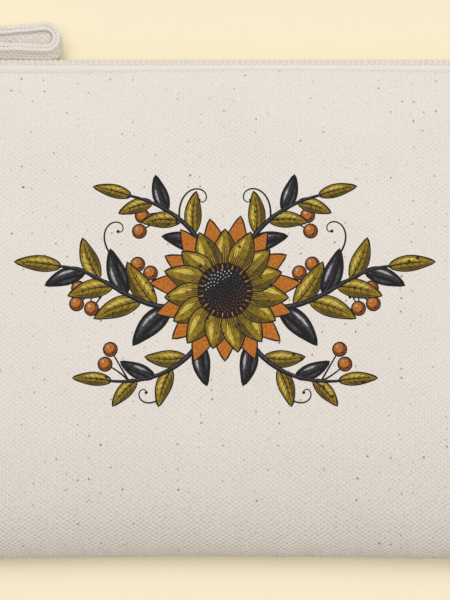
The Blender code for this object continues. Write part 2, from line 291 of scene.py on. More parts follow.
def weave_group():
    """Plain weave over cloth coordinates in metres: thread height, thread shade (painted shade that darkens
    the hollows between threads, with random fibre tone) and dark seed flecks.
    """
    group = bpy.data.node_groups.new("plain_weave", "ShaderNodeTree")
    for name in ("Height", "Shade", "Flecks"):
        group.interface.new_socket(name, in_out="OUTPUT", socket_type="NodeSocketFloat")

    def times(first, second):
        return maths(group, "MULTIPLY", first, second)

    def times_plus(first, second, rest):
        return maths(group, "MULTIPLY_ADD", first, second, rest)

    cloth = cloth_place(group)
    along, up, _ = split_place(group, cloth)
    drift = split_colour(group, noise(group, cloth, 90.0, 3.0)["Color"])
    u = times_plus(drift[0], 1.3, maths(group, "DIVIDE", along, WARP))
    v = times_plus(drift[1], 1.9, maths(group, "DIVIDE", up, WEFT))
    rising = wave(group, maths(group, "SUBTRACT", u, v))
    falling = wave(group, maths(group, "ADD", u, v))
    ribs = wave(group, times(u, 2.0))
    patch = ramp(group, noise(group, cloth, 150.0, 2.0)[0], 0.42, 0.62)
    height = times(rising, times_plus(patch, 0.30, 0.20))
    height = times_plus(falling, times_plus(patch, -0.12, 0.30), height)
    height = times_plus(ribs, times_plus(patch, -0.12, 0.40), height)
    height = times(height, times_plus(noise(group, cloth, 1150.0, 1.0)[0], 2.4, -0.2))
    height = times(height, times_plus(ramp(group, up, -0.015, -0.068), 0.31, 0.66))
    fibre = noise(group, cloth, 1900.0, 3.0)
    # Painted shade: the colour is darker where the threads lie low, with random fibre tone on top
    shade = times_plus(height, 0.26, fibre[0])

    spots = node(group, "ShaderNodeTexVoronoi", {
        "Vector": ragged(group, cloth, fibre["Color"]), "Scale": 300.0,
    }, voronoi_dimensions="2D").outputs
    chance = split_colour(group, spots["Color"])
    size = times_plus(ramp(group, chance[0], 0.72, 1.0), 0.055, 0.085)
    size = times(size, maths(group, "GREATER_THAN", chance[0], 0.72))
    near = ramp(group, maths(group, "SUBTRACT", size, spots["Distance"]), 0.0, 0.06)
    strength = times_plus(maths(group, "POWER", chance[1], 2.2), 0.75, 0.15)
    node(group, "NodeGroupOutput", {"Height": height, "Shade": shade, "Flecks": times(near, strength)})
    return group


def cloth_finish(name, weave, ink=None, roughness=0.92):
    """Canvas, bare or inked: ink is a function that adds its pattern and gives its light and dark colours."""
    made, tree, shader = new_material(name, roughness)
    shader.inputs["Sheen Weight"].default_value = 0.10
    shader.inputs["Sheen Roughness"].default_value = 0.6
    shader.inputs["Specular IOR Level"].default_value = 0.25
    threads = node(tree, "ShaderNodeGroup", node_tree=weave).outputs
    # The dark colour goes in the hollows between the threads and the light one on their crowns: painted shade
    light, dark = ink(tree) if ink else (srgb(240, 233, 224), srgb(230, 222, 212))
    colour = blend_colour(tree, ramp(tree, threads["Shade"], 0.20, 0.80), dark, light)
    if not ink:
        cloud = noise(tree, cloth_place(tree), 30.0, 4.0)[0]
        height = split_place(tree, node(tree, "ShaderNodeTexCoord").outputs["Object"])[1]
        # Painted shade: the colour darkens towards the bottom, and more just above the bottom seam, with a
        # random mottle added to it
        painted_shade_towards_bottom = ramp(tree, height, 0.030, BOTTOM_Y)
        seam = ramp(tree, height, -0.036, -0.066)
        worn = maths(tree, "MULTIPLY_ADD", painted_shade_towards_bottom, PAINTED_BOTTOM_SHADE, maths(tree, "MULTIPLY", seam, PAINTED_SEAM_SHADE))
        mottle_and_painted_shade = maths(tree, "MULTIPLY_ADD", cloud, 0.06, worn)
        colour = blend_colour(tree, mottle_and_painted_shade, colour, srgb(150, 125, 110))
        colour = blend_colour(tree, threads["Flecks"], colour, srgb(112, 98, 82))
    dress(tree, shader, colour, threads["Height"], WEAVE_RELIEF)
    return made


def plain_ink(light, deep, scale=900.0):
    """Ink whose density wanders a little, with painted shade that darkens it between the threads."""

    def ink(tree):
        _, mixed = grained(tree, cloth_place(tree), scale, 3.0, light, deep)
        return mixed, blend_colour(tree, 0.22, mixed, srgb(24, 21, 18))

    return ink


def spotted_ink(light, deep, spot):
    """Ink with dark blotches of many sizes."""

    def ink(tree):
        cloth = cloth_place(tree)
        grain, mixed = grained(tree, cloth, 800.0, 4.0, light, deep)
        moved = ragged(tree, cloth, grain["Color"])
        for scale, most, least in ((430.0, 0.30, 0.45), (900.0, 0.26, 0.40)):
            cells = node(tree, "ShaderNodeTexVoronoi", {"Vector": moved, "Scale": scale}).outputs
            chance = split_colour(tree, cells["Color"])[0]
            size = maths(tree, "MULTIPLY", ramp(tree, chance, least, 1.0), most)
            inside = ramp(tree, maths(tree, "SUBTRACT", size, cells["Distance"]), 0.0, 0.05)
            mixed = blend_colour(tree, inside, mixed, spot)
        # Its darker colour goes in the hollows between the threads: painted shade
        return mixed, blend_colour(tree, 0.18, mixed, srgb(52, 40, 16))

    return ink


def tape_finish():
    """Close twill of the zip's tape, with painted shade where it bends under the canvas fold."""
    made, tree, shader = new_material("zip tape twill", 0.85)
    shader.inputs["Sheen Weight"].default_value = 0.2
    along, across, _ = split_place(tree, cloth_place(tree))
    slant = maths(tree, "ADD", maths(tree, "DIVIDE", across, TWILL), maths(tree, "DIVIDE", along, TWILL))
    rib = maths(tree, "SINE", maths(tree, "MULTIPLY", slant, math.pi * 2))
    twill = maths(tree, "MULTIPLY_ADD", rib, 0.5, 0.5)
    # Lighter on the ribs and darker between them: painted shade; the same ribs give the relief
    colour = blend_colour(tree, twill, srgb(233, 226, 216), srgb(243, 237, 229))
    # Painted shade along the tape where it bends under the canvas fold
    painted_crease_shade = maths(tree, "MULTIPLY", ramp(tree, across, 0.0027, 0.0034), 0.20)
    colour = blend_colour(tree, painted_crease_shade, colour, srgb(176, 166, 152))
    dress(tree, shader, colour, twill, 0.00004)
    return made


def grained_finish(name, light, deep, roughness, metallic, scale, relief):
    """Moulded, spun or cast material with fine grain in colour and height."""
    made, tree, shader = new_material(name, roughness, metallic)
    place = node(tree, "ShaderNodeTexCoord").outputs["Object"]
    grain, colour = grained(tree, place, scale, 4.0, light, deep)
    dress(tree, shader, colour, grain[0], relief)
    return made


def make_materials():
    weave = weave_group()
    inks = {
        "black": plain_ink(srgb(26, 23, 24), srgb(13, 11, 12)),
        "slate": plain_ink(srgb(82, 78, 84), srgb(48, 45, 50)),
        "silver": plain_ink(srgb(196, 194, 198), srgb(150, 147, 152)),
        "mustard": spotted_ink(srgb(164, 134, 24), srgb(128, 102, 12), srgb(38, 28, 10)),
        "olive": spotted_ink(srgb(104, 84, 14), srgb(78, 60, 8), srgb(26, 19, 8)),
        "gold": spotted_ink(srgb(222, 198, 98), srgb(196, 168, 52), srgb(84, 62, 18)),
        "orange": plain_ink(srgb(210, 126, 36), srgb(176, 96, 20), 1500.0),
        "rust": plain_ink(srgb(142, 74, 18), srgb(96, 48, 10), 1500.0),
    }
    stuff = {name: cloth_finish(f"{name} printing ink", weave, ink, 0.75) for name, ink in inks.items()}
    stuff["canvas"] = cloth_finish("natural canvas", weave)
    stuff["tape"] = tape_finish()
    for key, name, light, deep, *rest in (
        ("coil", "nylon zip coil", (237, 228, 220), (233, 224, 216), 0.45, 0.0, 3000, 4e-6),
        # The cord is coloured darker than the coil so that the gaps between the turns look shaded: painted
        # shade
        ("cord", "cord in the zip coil", (222, 213, 204), (217, 208, 199), 0.8, 0.0, 5000, 8e-6),
        ("thread", "cotton thread", (240, 233, 223), (220, 211, 198), 0.8, 0.0, 5000, 3e-5),
        ("nickel", "brushed nickel", (205, 203, 199), (184, 181, 176), 0.28, 1.0, 900, 4e-6),
    ):
        stuff[key] = grained_finish(name, srgb(*light), srgb(*deep), *rest)
    return stuff


# Mesh helpers

def add_object(name, data):
    made = bpy.data.objects.new(name, data)
    bpy.context.scene.collection.objects.link(made)
    return made


def build(name, points, faces, materials, uvs=None, slots=None, smooth=True):
    mesh = bpy.data.meshes.new(name)
    mesh.from_pydata([tuple(p) for p in points], [], faces)
    for stuff in materials:
        mesh.materials.append(stuff)
    if slots is not None:
        mesh.polygons.foreach_set("material_index", np.array(slots, dtype=np.int32))
    if uvs is not None:
        corners = np.zeros(len(mesh.loops), dtype=np.int32)
        mesh.loops.foreach_get("vertex_index", corners)
        layer = mesh.uv_layers.new(name="ClothUV")
        layer.data.foreach_set("uv", np.asarray(uvs, dtype=np.float32)[corners].ravel())
    mesh.polygons.foreach_set("use_smooth", np.full(len(mesh.polygons), smooth))
    mesh.update()
    return add_object(name, mesh)


def build_closed(name, points, faces, stuff, uvs=None):
    """A closed piece with one finish, its faces turned outwards."""
    piece = build(name, points, faces, [stuff], uvs)
    shape = bmesh.new()
    shape.from_mesh(piece.data)
    bmesh.ops.recalc_face_normals(shape, faces=shape.faces)
    shape.to_mesh(piece.data)
    shape.free()
    return piece


def grid_faces(rows, columns, way=1):
    """Faces of a grid of points that is stored row by row: way is 1 or -1."""
    faces = []
    for j in range(rows - 1):
        for i in range(columns - 1):
            a = j * columns + i
            faces.append((a, a + 1, a + columns + 1, a + columns)[::way])
    return faces


def tube_faces(rings, sides, closed=False, capped=True):
    """Faces of a tube whose points are stored ring by ring."""
    faces = []
    for i in range(rings if closed else rings - 1):
        j = (i + 1) % rings
        for k in range(sides):
            m = (k + 1) % sides
            faces.append((i * sides + k, i * sides + m, j * sides + m, j * sides + k))
    if capped and not closed:
        faces.append(tuple(reversed(range(sides))))
        faces.append(tuple(range((rings - 1) * sides, rings * sides)))
    return faces


def thicken(piece, thickness, offset):
    wall = piece.modifiers.new("cloth", "SOLIDIFY")
    wall.thickness = thickness
    wall.offset = offset
    return piece


def fix_shape(piece):
    """Replace a piece's mesh by what its modifiers make of it."""
    bpy.context.view_layer.update()
    graph = bpy.context.evaluated_depsgraph_get()
    mesh = bpy.data.meshes.new_from_object(piece.evaluated_get(graph))
    piece.modifiers.clear()
    piece.data = mesh


def ease(t):
    """A smooth rise from 0 at 0 to 1 at 1."""
    return t * t * (3 - 2 * t)


def ease_between(value, start, end):
    return ease(min(max((value - start) / (end - start), 0.0), 1.0))


def hump(t):
    """0 at 0, highest, at 1, where t is 1, and fading beyond."""
    return t * np.exp(1 - t)


def circle(steps):
    """Places round a circle of radius 1."""
    angles = [2 * math.pi * k / steps for k in range(steps)]
    return [(math.cos(a), math.sin(a)) for a in angles]


def arc(radius, *degrees):
    return [(radius * math.cos(math.radians(a)), radius * math.sin(math.radians(a))) for a in degrees]


def lengths_along(line):
    """The length from the first point of a line to each of its points."""
    return list(accumulate((math.dist(a, b) for a, b in zip(line, line[1:])), initial=0.0))


# The canvas panels

def mouth_drop(x):
    """How far the folded mouth of the canvas hangs below its highest place."""
    away = np.clip(np.abs(np.asarray(x) - CROWN_MIDDLE) / 0.068, 0, 1)
    ends = np.clip((HALF_WIDTH - np.abs(x) - 0.004) / 0.022, 0, 1)
    return MOUTH_CROWN * np.sin(np.pi / 2 * away) ** 2 * ease(ends)


def band_table(band, rise):
    """Arc length from the edge, inset and sine of the angle along a curved band."""
    angles = np.radians(np.linspace(0, 90, 181))
    inset = band * (1 - np.cos(angles))
    height = rise * np.sin(angles)
    arc = np.concatenate([[0], np.cumsum(np.hypot(np.diff(inset), np.diff(height)))])
    return arc, inset, np.sin(angles)


def read_band(table, run):
    """Inset, and share of the band's rise, at an arc length from the edge."""
    arc, inset, rise = table
    return np.interp(run, arc, inset) + np.maximum(run - arc[-1], 0), np.interp(run, arc, rise)


class Panel:
    """The surface of one canvas panel over flat cloth coordinates a (along) and b (up)."""

    def __init__(self, rise, facing, settled=True):
        self.facing = facing
        self.top = rise - ROLL
        self.side = band_table(SIDE_BAND, self.top)
        self.bottom = band_table(BOTTOM_BAND, self.top)
        self.mouth = band_table(MOUTH_BAND, self.top - MOUTH_HALF)
        self.half = HALF_WIDTH - SIDE_BAND + self.side[0][-1]
        self.low = BOTTOM_Y + BOTTOM_BAND - self.bottom[0][-1]
        self.high = FOLD_Y - MOUTH_BAND + self.mouth[0][-1]
        if settled:
            self.columns, self.rows, self.slack = slack_field(self)

    def along(self, a):
        inset, share = read_band(self.side, self.half - np.abs(a))
        return np.sign(a) * (HALF_WIDTH - inset), share

    def up(self, b):
        low, low_share = read_band(self.bottom, b - self.low)
        high, high_share = read_band(self.mouth, self.high - b)
        start = MOUTH_HALF / self.top
        lower = b < (self.low + self.high) / 2
        share = np.where(lower, low_share, start + (1 - start) * high_share)
        return np.where(lower, BOTTOM_Y + low, FOLD_Y - high), share

    def smooth(self, a, b):
        x, side = self.along(a)
        y, share = self.up(b)
        height = ROLL + side * share * self.top
        across = x / HALF_WIDTH
        level = (y - MIDDLE_Y) / HALF_HEIGHT
        corner = CORNER_CUT * np.abs(across * level) ** CORNER_POWER
        px = x - across * SIDE_BOW * (1 - level**2) - np.sign(x) * corner
        py = y - CORNER_DROP * across**2 * (1 - level) / 2 - np.sign(level) * corner
        py = py - mouth_drop(x) * np.clip(level, 0, 1) ** 2
        return np.stack([px, py, SEAM_Z + self.facing * (SEAM_GAP / 2 + height)], axis=-1)

    def swell(self, a, b):
        """Puckers along the seams, drag lines from the corners and slow waves over the cloth."""
        from_side = self.half - np.abs(a)
        from_low = b - self.low
        from_high = self.high - b
        side_row = np.sin(b * 820 + 2.1 * np.sin(b * 173 + np.sign(a)))
        low_row = np.sin(a * 760 + 2.4 * np.sin(a * 151))
        high_row = np.sin(a * 640 + 2.0 * np.sin(a * 127 + 1.0))
        off_ends = np.clip(np.minimum(from_low, from_high) / 0.010, 0, 1)
        off_sides = np.clip(from_side / 0.010, 0, 1)
        pucker = PUCKER * side_row * hump(from_side / PUCKER_REACH) * off_ends
        pucker = pucker + PUCKER * low_row * hump(from_low / PUCKER_REACH) * off_sides
        pucker = pucker + 0.00008 * high_row * np.exp(-from_high / 0.004) * off_sides
        waves = 0.00030 * np.sin(a * 61 + 1.3 * np.sin(b * 47)) * np.sin(b * 53 + 0.7)
        waves = waves + 0.00016 * np.sin(a * 118 + b * 93 + 2.0)
        drag = np.zeros_like(a)
        for side in (-1, 1):
            reach = np.hypot(a - side * self.half, from_low)
            angle = np.arctan2(from_low, self.half - side * a)
            drag = drag + DRAG * np.sin(angle * 9 + side) * hump(reach / DRAG_REACH)
        calm = np.clip(np.minimum(np.minimum(from_side, from_low), from_high) / 0.004, 0, 1)
        return pucker + (waves + drag) * calm

    def place(self, a, b):
        left, right = np.maximum(a - NORMAL_STEP, -self.half), np.minimum(a + NORMAL_STEP, self.half)
        below, above = np.maximum(b - NORMAL_STEP, self.low), np.minimum(b + NORMAL_STEP, self.high)
        du = self.smooth(right, b) - self.smooth(left, b)
        dv = self.smooth(a, above) - self.smooth(a, below)
        normal = np.cross(du, dv) * self.facing
        normal /= np.maximum(np.linalg.norm(normal, axis=-1, keepdims=True), 1e-12)
        moved = self.smooth(a, b) + normal * self.swell(a, b)[..., None]
        moved = moved + between(self.slack, self.columns, self.rows, a, b)
        if self.facing < 0:
            moved[..., 2] = np.maximum(moved[..., 2], 0.00002)
        return moved


def slack_field(panel):
    """How the panel settles when it is held along its seams and lightly filled: a coarse cloth run."""
    columns = np.linspace(-panel.half, panel.half, SLACK_CELLS[0] + 1)
    rows = np.linspace(panel.low, panel.high, SLACK_CELLS[1] + 1)
    shape = (len(rows), len(columns), 3)
    start = panel.smooth(*np.meshgrid(columns, rows)).reshape(-1, 3)
    sheet = build("settling_cloth", start, grid_faces(len(rows), len(columns), panel.facing), [])
    held = [j * len(columns) + i for j, i in edge_order(len(columns), len(rows))]
    sheet.vertex_groups.new(name="seams").add(held, 1.0, "REPLACE")
    cloth = sheet.modifiers.new("cloth", "CLOTH")
    rules = cloth.settings
    rules.quality = 8
    rules.mass = 0.03
    rules.air_damping = 6.0
    rules.tension_stiffness = 18.0
    rules.compression_stiffness = 6.0
    rules.shear_stiffness = 4.0
    rules.bending_stiffness = 0.02
    rules.vertex_group_mass = "seams"
    rules.use_pressure = True
    rules.uniform_pressure_force = 2.0
    rules.shrink_min = -0.012
    rules.effector_weights.gravity = 0.1
    cloth.collision_settings.use_collision = False
    cloth.point_cache.frame_end = SLACK_FRAMES
    scene = bpy.context.scene
    for number in range(1, SLACK_FRAMES + 1):
        scene.frame_set(number)
    settled = sheet.evaluated_get(bpy.context.evaluated_depsgraph_get()).data
    moved = np.zeros(len(start) * 3)
    settled.vertices.foreach_get("co", moved)
    scene.frame_set(1)
    bpy.data.objects.remove(sheet, do_unlink=True)
    field = (moved.reshape(-1, 3) - start).reshape(shape)
    for _ in range(2):
        field[1:-1] = (field[:-2] + 2 * field[1:-1] + field[2:]) / 4
        field[:, 1:-1] = (field[:, :-2] + 2 * field[:, 1:-1] + field[:, 2:]) / 4
    return columns, rows, SLACK_LIMIT * np.tanh(field * SLACK_SHARE / SLACK_LIMIT)


def cell(stations, place):
    """The station before a place, and the eased share of the way to the next one."""
    i = np.clip(np.searchsorted(stations, place) - 1, 0, len(stations) - 2)
    return i, ease(np.clip((place - stations[i]) / (stations[i + 1] - stations[i]), 0, 1)[..., None])


def between(field, columns, rows, a, b):
    """The field at any place on the cloth."""
    i, u = cell(columns, a)
    j, v = cell(rows, b)
    lower = field[j, i] * (1 - u) + field[j, i + 1] * u
    upper = field[j + 1, i] * (1 - u) + field[j + 1, i + 1] * u
    return lower * (1 - v) + upper * v


def cloth_steps(low, high):
    """Places from one edge to the other, closer near both edges."""
    near = [low] + [low + s for s in EDGE_STEPS]
    far = [high - s for s in reversed(EDGE_STEPS)] + [high]
    count = round((far[0] - near[-1]) / GRID)
    middle = list(np.linspace(near[-1], far[0], count + 1)[1:-1])
    return near + middle + far


def edge_order(columns, rows):
    """Row and column of the grid's outer places, once round."""
    around = [(0, i) for i in range(columns)]
    around += [(j, columns - 1) for j in range(1, rows)]
    around += [(rows - 1, i) for i in range(columns - 2, -1, -1)]
    around += [(j, 0) for j in range(rows - 2, 0, -1)]
    return around


def draw_in(outline, inset):
    """An outline of the pouch moved in from all four edges, its corners kept."""
    middle = np.array((0.0, MIDDLE_Y))
    return middle + (outline - middle) * (1 - inset / np.array((HALF_WIDTH, HALF_HEIGHT)))


def make_seam():
    """The seam that joins the panels, in the groove between their turned-in edges."""
    guide = Panel(FRONT_RISE, 1, settled=False)
    upright = np.linspace(guide.high - 0.001, guide.low, 60)
    level = np.linspace(-guide.half, guide.half, 90)[1:-1]
    a = np.concatenate([np.full(len(upright), -guide.half), level, np.full(len(upright), guide.half)])
    b = np.concatenate([upright, np.full(len(level), guide.low), upright[::-1]])
    line = [(x, y, SEAM_Z) for x, y in draw_in(guide.smooth(a, b)[:, :2], SEAM_INSET)]
    piece = build_closed("seam", *tube(line, SEAM_THREAD, 8), STUFF["thread"])
    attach(piece, "pouch")


def make_panel(name, panel, shapes, materials):
    """Cut the cloth along the printed outlines, shape it, turn its edges in and give it thickness."""
    across = cloth_steps(-panel.half, panel.half)
    upward = cloth_steps(panel.low, panel.high)
    flat = [Vector((a, b)) for b in upward for a in across]
    polygons = []
    for _, outline in shapes:
        first = len(flat)
        flat += [Vector(p) for p in outline]
        polygons.append(list(range(first, len(flat))))
    places, _, triangles, sources, _, covers = geometry.delaunay_2d_cdt(flat, [], polygons, 0, 1e-7, True)
    found = {original: index for index, originals in enumerate(sources) for original in originals}
    slots = [materials.index(shapes[max(c)][0]) if c else 0 for c in covers]
    uvs = np.array([tuple(p) for p in places])
    points = panel.place(*np.ascontiguousarray(uvs.T))
    faces = [tuple(t)[::panel.facing] for t in triangles]

    previous = [found[j * len(across) + i] for j, i in edge_order(len(across), len(upward))]
    count = len(previous)
    edge = points[previous]
    edge_uv = uvs[previous]
    outward = edge_uv / (panel.half, panel.high)
    outward = np.where(np.abs(outward) > 0.98, np.sign(outward), 0)
    all_points = [points]
    all_uvs = [uvs]
    total = len(points)
    for turned in np.radians(TURNS):
        inset = ROLL * (1 - math.cos(turned))
        level = edge[:, 2] - panel.facing * ROLL * math.sin(turned)
        all_points.append(np.column_stack([draw_in(edge[:, :2], inset), level]))
        all_uvs.append(edge_uv + outward * ROLL * turned)
        current = list(range(total, total + count))
        total += count
        for k in range(count):
            m = (k + 1) % count
            faces.append((previous[k], current[k], current[m], previous[m])[::panel.facing])
        previous = current
    slots += [0] * (len(faces) - len(slots))
    piece = build(name, np.concatenate(all_points), faces, [STUFF[m] for m in materials],
                  np.concatenate(all_uvs), slots)
    return thicken(piece, CLOTH, -1.0)


# The print

def curve_point(points, t):
    """A point on a Bezier curve of any degree."""
    row = [np.array(p, dtype=float) for p in points]
    while len(row) > 1:
        row = [p * (1 - t) + q * t for p, q in zip(row, row[1:])]
    return row[0]


def ray(angle):
    return np.array([math.cos(angle), math.sin(angle)])


def unit_step(step):
    return step / np.linalg.norm(step)


def left_of(step):
    """A step turned left by a right angle."""
    return np.array([-step[1], step[0]])


def course(points, t):
    """A curve's point at t and the unit step to the left of its course."""
    ahead = curve_point(points, min(t + 0.01, 1.0)) - curve_point(points, max(t - 0.01, 0.0))
    return curve_point(points, t), left_of(unit_step(ahead))


def heading_at(points, t):
    """A curve's point at t and its heading there, in radians."""
    here = curve_point(points, t)
    ahead = curve_point(points, t + 0.02) - here
    return here, math.atan2(ahead[1], ahead[0])


def ribbon(points, start, end, steps=14):
    """A tapering stroke along a Bezier curve."""
    left = []
    right = []
    for i in range(steps + 1):
        t = i / steps
        here, side = course(points, t)
        side = side * (start + (end - start) * t) / 2
        left.append(here + side)
        right.append(here - side)
    return left + right[::-1]


def leaf_rib(base, tip, bend, grow=0.0):
    """The bent midrib of a leaf."""
    length = np.linalg.norm(tip - base)
    axis = (tip - base) / length
    middle = (base + tip) / 2 + left_of(axis) * bend * length
    return [base - axis * grow, middle, tip + axis * grow * 1.6]


def leaf_half(width, t):
    """Half of a leaf's width along its rib, widest below the middle."""
    return width * math.sin(math.pi * t**0.82) ** 0.92 / 2


def leaf_outline(rib, width, grow=0.0):
    """A pointed leaf on its midrib."""
    steps = 13
    left = [rib[0]]
    right = []
    for i in range(1, steps):
        here, side = course(rib, i / steps)
        side = side * (leaf_half(width, i / steps) + grow)
        left.append(here + side)
        right.append(here - side)
    return left + [rib[-1]] + right[::-1]


def disc(centre, radius, steps=14):
    return [(centre[0] + radius * x, centre[1] + radius * y) for x, y in circle(steps)]


def anticlockwise(outline):
    """The outline's points, turned round if they run clockwise, which the cloth's cutting needs."""
    points = [(float(p[0]), float(p[1])) for p in outline]
    area = sum(a[0] * b[1] - b[0] * a[1] for a, b in zip(points, points[1:] + points[:1]))
    return points if area > 0 else points[::-1]


def draw_glint(shapes, ink, rib, width, side, spans):
    """A crescent on one half of a leaf: spans are its ends along the leaf and its edges across it."""
    start, end, inner, outer = spans
    middle = (inner + outer) / 2
    near = []
    far = []
    for i in range(9):
        share = i / 8
        t = start + (end - start) * share
        here, across = course(rib, t)
        across = across * side * leaf_half(width, t)
        swell = math.sin(math.pi * share) ** 0.7
        far.append(here + across * (middle + (outer - middle) * swell))
        if 0 < i < 8:
            near.append(here + across * (middle + (inner - middle) * swell))
    shapes.append((ink, far + near[::-1]))


def draw_midrib(shapes, ink, rib, start, wide, thin):
    shapes.append((ink, ribbon([curve_point(rib, start), rib[1], curve_point(rib, 0.9)], wide, thin, 8)))


def draw_veins(shapes, rib, width):
    """A midrib and four pairs of veins."""
    draw_midrib(shapes, "black", rib, 0.03, 0.00042, 0.00016)
    for k in range(4):
        t = 0.24 + 0.56 * k / 4
        root = curve_point(rib, t)
        ahead = unit_step(curve_point(rib, t + 0.02) - root)
        reach = width * math.sin(math.pi * t**0.82) * 0.40
        for side in (-1, 1):
            end = root + ahead * reach * 0.9 + left_of(ahead) * side * reach * 0.88
            bow = root + ahead * reach * 0.25 + left_of(ahead) * side * reach * 0.55
            shapes.append(("black", ribbon([root, bow, end], 0.00022, 0.00008, 4)))


def draw_leaf(shapes, ink, glints, base, tip, width, bend):
    """A leaf's dark outline, its ink and its crescents. Gives its midrib."""
    shapes.append(("black", leaf_outline(leaf_rib(base, tip, bend, PRINT_LINE), width, PRINT_LINE)))
    rib = leaf_rib(base, tip, bend)
    shapes.append((ink, leaf_outline(rib, width)))
    axis = tip - base
    lit = 1 if axis[1] * 0.5 + axis[0] * 0.85 > 0 else -1       # the half that faces up and to the left
    for glint, side, spans in glints:
        draw_glint(shapes, glint, rib, width, side * lit, spans)
    return rib


def draw_stem_leaf(shapes, ink, base, tip, width, bend):
    rib = draw_leaf(shapes, ink, GLINTS[ink], base, tip, width, bend)
    if ink == "black":
        draw_midrib(shapes, "slate", rib, 0.05, 0.0003, 0.0001)
    else:
        draw_veins(shapes, rib, width)


def draw_branch(shapes, route, leaves, size, mirror):
    """A stem with leaves on both sides by turns and one at its tip."""
    for k in range(leaves):
        t = 0.22 + 0.70 * k / leaves
        root, heading = heading_at(route, t)
        side = 1 if k % 2 else -1
        spread = heading + side * mirror * math.radians(46 - 8 * t)
        length = size * (1.08 - 0.38 * t)
        ink = ("black", "mustard", "mustard")[k % 3]
        draw_stem_leaf(shapes, ink, root, root + length * ray(spread), length * 0.38, -0.10 * side * mirror)
    end = curve_point(route, 1.0)
    ahead = unit_step(end - curve_point(route, 0.94))
    tip = end + ahead * size * 0.8
    draw_stem_leaf(shapes, "mustard", end - ahead * 0.001, tip, size * 0.27, 0.05 * mirror)
    shapes.append(("black", ribbon(route, 0.0020, 0.0008, 22)))
    shapes.append(("slate", ribbon([(x, y + 0.0002) for x, y in route], 0.0007, 0.0002, 22)))


def draw_berries(shapes, route, t, side, mirror, count=3):
    """A forked twig with round berries."""
    root, heading = heading_at(route, t)
    for k in range(count):
        turn = heading + side * mirror * math.radians(62 + 24 * (k - 1))
        centre = root + (0.0088 + 0.0022 * (k == 1)) * ray(turn)
        bow = (root + centre) / 2 + 0.0009 * left_of(ray(turn)) * (k - 1)
        shapes += [
            ("black", ribbon([root, bow, centre], 0.0006, 0.0004, 6)),
            ("black", disc(centre, BERRY)),
            ("rust", disc(centre, BERRY - PRINT_LINE)),
            ("orange", disc(centre + (-0.0003, 0.0004), 0.0014)),
            ("silver", disc(centre + (-0.0007, 0.0008), 0.00038, 8)),
            ("black", disc(centre + (0.0007, -0.0009), 0.0003, 6)),
        ]


def draw_curl(shapes, start, heading, size, mirror):
    """A tendril that winds in on itself."""
    path = [np.array((start[0] * mirror, start[1]))]
    turn = heading if mirror > 0 else math.pi - heading
    for k in range(CURL_STEPS):
        path.append(path[-1] + size * 0.085 * (1 - k / 42) * ray(turn))
        turn += mirror * (0.06 + 0.26 * k / CURL_STEPS)
    left = []
    right = []
    for k, here in enumerate(path):
        side = left_of(unit_step(path[min(k + 1, CURL_STEPS)] - path[max(k - 1, 0)]))
        side = side * (0.00030 - 0.00016 * k / CURL_STEPS)
        left.append(here + side)
        right.append(here - side)
    shapes.append(("black", left + right[::-1]))
    shapes.append(("black", disc(path[-1], 0.00050, 9)))


def draw_petal(shapes, ink, out, width, reach, bend):
    """One petal that points along a ray, with streaks from its root."""
    centre = np.array(FLOWER)
    glints = GLINTS["petal"] if ink == "mustard" else ()
    draw_leaf(shapes, ink, glints, centre + out * PETAL_ROOT, centre + out * reach, width, bend)
    root = centre + out * STREAK_ROOT
    for spread in (-0.62, -0.40, -0.18, 0.05, 0.28, 0.5, 0.7):
        across = left_of(out) * spread * width * 0.48
        end = root + out * (reach - STREAK_ROOT) * (0.62 - 0.3 * abs(spread)) + across
        line = [root + across * 0.75, (root + end) / 2 + across * 0.25, end]
        shapes.append(("rust" if ink == "orange" else "black", ribbon(line, 0.00034, 0.00008, 5)))


def draw_flower(shapes):
    """Two rings of petals round a seed head."""
    centre = np.array(FLOWER)
    for ink, reach, width, shift in (("orange", 0.0215, 0.0068, 0.5), ("mustard", 0.0180, 0.0070, 0.0)):
        for k in range(PETALS):
            out = ray(2 * math.pi * (k + shift) / PETALS + math.pi / 2)
            long = reach * (1 + 0.05 * math.sin(k * 2.4))
            draw_petal(shapes, ink, out, width, long, 0.04 * math.sin(k * 1.7 + shift))
    shapes.append(("black", disc(centre, HEAD, 40)))
    for k, out in enumerate(circle(30)):
        line = [centre + np.array(out) * reach for reach in (0.0066, 0.0073, 0.0080)]
        shapes.append(("rust" if k % 2 else "orange", ribbon(line, 0.0005, 0.0002, 3)))
    for k in range(SEEDS):
        radius = SEED_REACH * math.sqrt((k + 0.5) / SEEDS)
        out = ray(k * math.radians(137.508))
        lit = out @ np.array((-0.5, 0.85)) * radius / SEED_REACH
        ink = "silver" if lit > 0.45 else ("slate" if lit > -0.2 else "rust")
        shapes.append((ink, disc(centre + radius * out, 0.00017 + 0.00009 * k / SEEDS, 7)))


def draw_print():
    """Ink and outline of every printed shape, from the lowest to the uppermost."""
    shapes = []
    for mirror in (-1, 1):
        wide, low, high = ([(x * mirror, y) for x, y in stem] for stem in STEMS)
        for curl in CURLS:
            draw_curl(shapes, *curl, mirror)
        for t, side in ((0.42, 1), (0.66, -1)):
            draw_berries(shapes, wide, t, side, mirror)
        draw_berries(shapes, low, 0.84, 1, mirror, 2)
        draw_berries(shapes, high, 0.60, -1, mirror, 2)
        draw_branch(shapes, low, 5, 0.0130, mirror)
        draw_branch(shapes, high, 5, 0.0130, mirror)
        draw_branch(shapes, wide, 7, 0.0160, mirror)
    draw_flower(shapes)
    return [(ink, anticlockwise(outline)) for ink, outline in shapes]


# The zip

def rise_share(inset, band):
    """How much of a curved band's rise is reached at an inset from its edge."""
    return math.sqrt(1 - (1 - min(max(inset / band, 0.0), 1.0)) ** 2)


